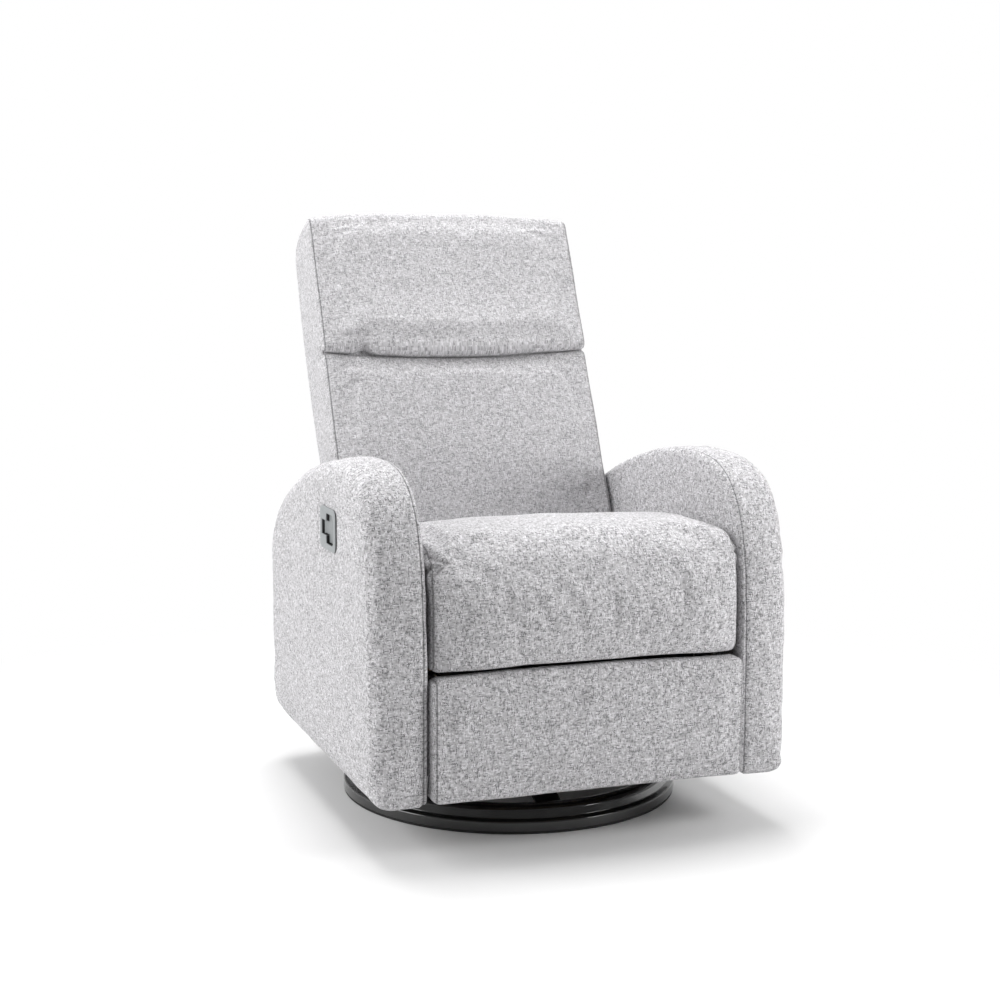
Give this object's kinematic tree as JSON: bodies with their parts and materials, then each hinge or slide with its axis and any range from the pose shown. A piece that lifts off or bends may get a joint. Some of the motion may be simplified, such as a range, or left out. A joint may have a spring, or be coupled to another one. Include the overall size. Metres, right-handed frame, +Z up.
{
  "type": "glider nursery chair",
  "caption": "Upholstered nursery recliner on a ring base that swivels and glides, with a folding footrest and a reclining back.",
  "frame": {"origin": "on the floor, under the middle of the chair's bounding box at rest", "axes": "+Z up; the sitter faces -Y; +X is the sitter's left"},
  "size_m": [0.7328, 0.9276, 1.0415],
  "materials": {
    "back_fabric": "heathered light-grey linen weave",
    "seat_fabric": "heathered light-grey linen weave",
    "footrest_fabric": "heathered light-grey linen weave",
    "arm_fabric": "heathered light-grey linen weave",
    "cover_fabric": "heathered light-grey linen weave",
    "plywood": "bare plywood",
    "rubber": "matte",
    "grey_plastic": "satin",
    "webbing": "woven",
    "zinc_steel": "zinc plated",
    "black_steel": "gloss black"
  },
  "bodies": {
    "base": {"base_ring": "black_steel", "floor_guard_ring": "rubber", "base_spider": "black_steel", "bearing_lower_plate": "black_steel", "swivel_bearing": "zinc_steel", "king_bolt": "zinc_steel"},
    "swivel_frame": {"swivel_plate": "black_steel", "glide_frame_tube_front": "black_steel", "glide_frame_tube_rear": "black_steel", "glide_shaft_front": "zinc_steel", "glide_shaft_rear": "zinc_steel", "glide_side_plate_left": "black_steel", "glide_side_plate_right": "black_steel"},
    "glide_links_front": {"glide_link_front_left": "zinc_steel", "glide_link_front_right": "zinc_steel"},
    "glide_links_rear": {"glide_link_rear_left": "zinc_steel", "glide_link_rear_right": "zinc_steel"},
    "carriage": {"carriage_cross_tube_front": "black_steel", "carriage_cross_tube_rear": "black_steel", "carriage_rail_left": "black_steel", "carriage_rail_right": "black_steel", "seat_slide_rail_left": "zinc_steel", "seat_slide_rail_right": "zinc_steel", "arm_panel_left": "plywood", "arm_panel_right": "plywood", "arm_upholstery_left": "arm_fabric", "arm_upholstery_right": "arm_fabric", "rear_panel": "cover_fabric", "handle_bezel": "grey_plastic", "release_cable": "rubber"},
    "handle": {"handle_paddle": "grey_plastic"},
    "seat": {"mechanism_plate_left": "black_steel", "mechanism_plate_right": "black_steel", "seat_frame": "plywood", "seat_spring_1": "zinc_steel", "seat_spring_2": "zinc_steel", "seat_spring_3": "zinc_steel", "seat_spring_4": "zinc_steel", "seat_deck": "webbing", "seat_cushion": "seat_fabric"},
    "back": {"back_frame": "plywood", "back_webbing": "webbing", "back_cushion": "back_fabric", "head_cushion": "back_fabric", "back_outer_cover": "cover_fabric", "back_bracket_left": "black_steel", "back_bracket_right": "black_steel"},
    "footrest_drive_links": {"footrest_drive_link_left": "zinc_steel", "footrest_drive_link_right": "zinc_steel", "footrest_torque_tube": "black_steel"},
    "footrest_support_links": {"footrest_support_link_left": "zinc_steel", "footrest_support_link_right": "zinc_steel"},
    "footrest_upper_links": {"footrest_upper_link_left": "zinc_steel", "footrest_upper_link_right": "zinc_steel"},
    "footrest_carrier_links": {"footrest_carrier_link_left": "zinc_steel", "footrest_carrier_link_right": "zinc_steel"},
    "footrest": {"footrest_pad": "footrest_fabric", "footrest_board": "plywood", "footrest_bracket_left": "black_steel", "footrest_bracket_right": "black_steel"}
  },
  "joints": [
    {"name": "base_swivel", "type": "hinge", "parent": "base", "child": "swivel_frame", "pos_m": [0, -0.05513, 0.0839], "axis": [0, 0, 1], "continuous": true},
    {"name": "glide", "type": "hinge", "parent": "swivel_frame", "child": "glide_links_front", "pos_m": [0, -0.17513, 0.235], "axis": [1, 0, 0], "range_deg": [-25, 25]},
    {"name": "glide_rear_follow", "type": "hinge", "parent": "swivel_frame", "child": "glide_links_rear", "pos_m": [0, 0.06487, 0.235], "axis": [1, 0, 0], "range_deg": [-25.1, 25.1]},
    {"name": "glide_carriage_follow", "type": "hinge", "parent": "glide_links_front", "child": "carriage", "pos_m": [0, -0.17513, 0.115], "axis": [1, 0, 0], "range_deg": [-25.1, 25.1]},
    {"name": "release_handle", "type": "hinge", "parent": "carriage", "child": "handle", "pos_m": [-0.36, -0.13563, 0.505], "axis": [0, 0, -1], "range_deg": [0, 30], "stiffness_Nm_per_rad": 0.4, "springref_deg": -5.73},
    {"name": "back_recline", "type": "hinge", "parent": "seat", "child": "back", "pos_m": [0, 0.09987, 0.4], "axis": [-1, 0, 0], "range_deg": [0, 35]},
    {"name": "seat_advance", "type": "slide", "parent": "carriage", "child": "seat", "axis": [0, -1, 0], "range_m": [0, 0.0502]},
    {"name": "footrest_open", "type": "hinge", "parent": "seat", "child": "footrest_drive_links", "pos_m": [0, -0.29113, 0.272], "axis": [-1, 0, 0], "range_deg": [0, 86]},
    {"name": "footrest_support_follow", "type": "hinge", "parent": "footrest_drive_links", "child": "footrest_support_links", "pos_m": [0, -0.2852, 0.18721], "axis": [-1, 0, 0], "range_deg": [-126.2, 0]},
    {"name": "footrest_carrier_follow", "type": "hinge", "parent": "footrest_drive_links", "child": "footrest_carrier_links", "pos_m": [0, -0.27927, 0.10241], "axis": [-1, 0, 0], "range_deg": [-126.2, 0]},
    {"name": "footrest_upper_follow", "type": "hinge", "parent": "footrest_support_links", "child": "footrest_upper_links", "pos_m": [0, -0.3251, 0.26226], "axis": [-1, 0, 0], "range_deg": [0, 126.2]},
    {"name": "footrest_turn", "type": "hinge", "parent": "footrest_carrier_links", "child": "footrest", "pos_m": [0, -0.37551, 0.28342], "axis": [-1, 0, 0], "range_deg": [0, 137.2]}
  ],
  "couplings": [
    {"joint": "glide_rear_follow", "follows": "glide", "ratio": 1},
    {"joint": "glide_carriage_follow", "follows": "glide", "ratio": -1},
    {"joint": "seat_advance", "follows": "back_recline", "m_per_rad": 0.081851},
    {"joint": "footrest_support_follow", "follows": "footrest_open", "ratio": -1.4651},
    {"joint": "footrest_carrier_follow", "follows": "footrest_open", "ratio": -1.4651},
    {"joint": "footrest_upper_follow", "follows": "footrest_open", "ratio": 1.4651},
    {"joint": "footrest_turn", "follows": "footrest_open", "ratio": 1.593}
  ]
}
